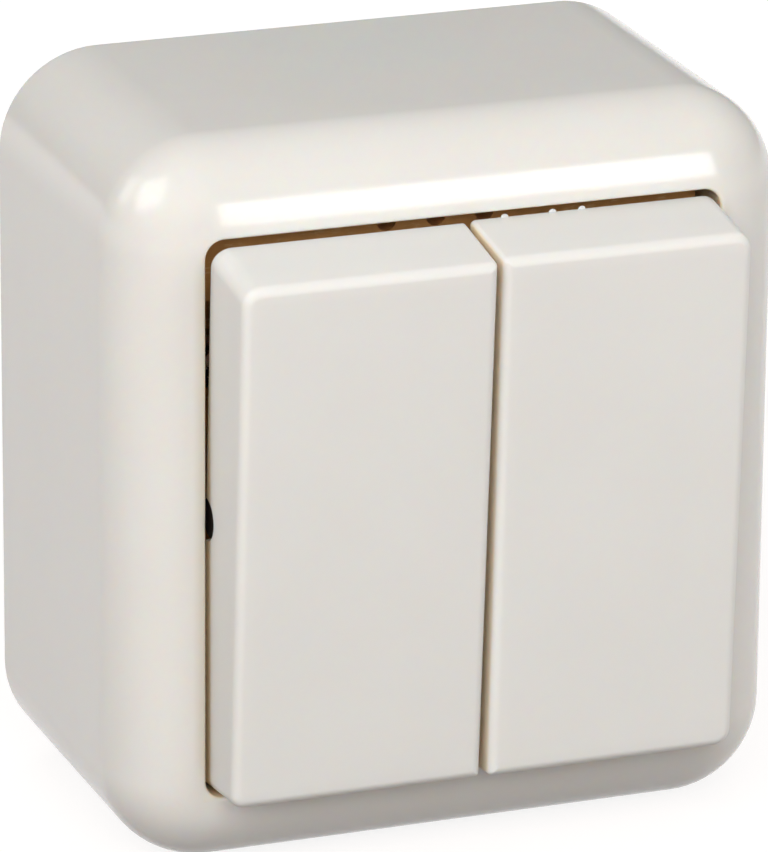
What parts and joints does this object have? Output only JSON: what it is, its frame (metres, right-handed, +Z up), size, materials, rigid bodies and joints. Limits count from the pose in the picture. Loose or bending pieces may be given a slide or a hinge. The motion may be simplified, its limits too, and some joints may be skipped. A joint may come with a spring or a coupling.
{
  "type": "two-gang light switch",
  "caption": "Surface-mounted light switch: a rounded cream hood with side-by-side rocker caps over a see-saw contact mechanism on a wall base.",
  "frame": {"origin": "centre of the wall face, midway between the wall screw slots", "axes": "+Z up, +Y into the wall, front faces -Y, +X to the right as seen from the front"},
  "size_m": [0.066, 0.0458, 0.0704],
  "materials": {
    "hood_plastic": "gloss",
    "rocker_plastic": "satin gloss",
    "base_plastic": "matt",
    "block_plastic": "matt",
    "frame_plastic": "matt",
    "cradle_plastic": "satin",
    "brass_strip": "rolled",
    "silver_tip": "satin",
    "cage_steel": "plated",
    "screw_steel": "plated",
    "spring_steel": "drawn"
  },
  "bodies": {
    "housing": {"hood": "hood_plastic", "base_plate": "base_plastic", "contact_block": "block_plastic", "bearing_frame": "frame_plastic", "block_screws": "screw_steel", "common_rail": "brass_strip", "output_strip_left": "brass_strip", "output_strip_right": "brass_strip", "fixed_tip_left": "silver_tip", "fixed_tip_right": "silver_tip", "terminal_cage_common": "cage_steel", "terminal_cage_left": "cage_steel", "terminal_cage_right": "cage_steel", "terminal_screw_common": "screw_steel", "terminal_screw_left": "screw_steel", "terminal_screw_right": "screw_steel"},
    "left_rocker": {"rocker_left": "rocker_plastic", "cradle_left": "cradle_plastic", "plunger_spring_left": "spring_steel"},
    "left_plunger": {"plunger_left": "cradle_plastic"},
    "left_lever": {"contact_lever_left": "brass_strip", "lever_tip_left": "silver_tip"},
    "right_rocker": {"rocker_right": "rocker_plastic", "cradle_right": "cradle_plastic", "plunger_spring_right": "spring_steel"},
    "right_plunger": {"plunger_right": "cradle_plastic"},
    "right_lever": {"contact_lever_right": "brass_strip", "lever_tip_right": "silver_tip"}
  },
  "joints": [
    {"name": "left_rocker_tilt", "type": "hinge", "parent": "housing", "child": "left_rocker", "pos_m": [-0.0125, -0.0355, 0], "axis": [-1, 0, 0], "range_deg": [0, 6.8]},
    {"name": "left_lever_tilt", "type": "hinge", "parent": "housing", "child": "left_lever", "pos_m": [-0.0125, -0.019, 0], "axis": [1, 0, 0], "range_deg": [0, 11.9]},
    {"name": "left_plunger_slide", "type": "slide", "parent": "left_rocker", "child": "left_plunger", "axis": [0, -0.9982, -0.0593], "range_m": [0, 0.001], "stiffness_N_per_m": 300, "springref_m": -0.003, "deforming": ["plunger_spring_left"]},
    {"name": "right_rocker_tilt", "type": "hinge", "parent": "housing", "child": "right_rocker", "pos_m": [0.0125, -0.0355, 0], "axis": [-1, 0, 0], "range_deg": [0, 5.8]},
    {"name": "right_lever_tilt", "type": "hinge", "parent": "housing", "child": "right_lever", "pos_m": [0.0125, -0.019, 0], "axis": [1, 0, 0], "range_deg": [0, 10.15]},
    {"name": "right_plunger_slide", "type": "slide", "parent": "right_rocker", "child": "right_plunger", "axis": [0, -0.9991, -0.0419], "range_m": [0, 0.001], "stiffness_N_per_m": 300, "springref_m": -0.003, "deforming": ["plunger_spring_right"]}
  ],
  "couplings": [
    {"joint": "left_lever_tilt", "follows": "left_rocker_tilt", "ratio": 1.75},
    {"joint": "right_lever_tilt", "follows": "right_rocker_tilt", "ratio": 1.75}
  ]
}
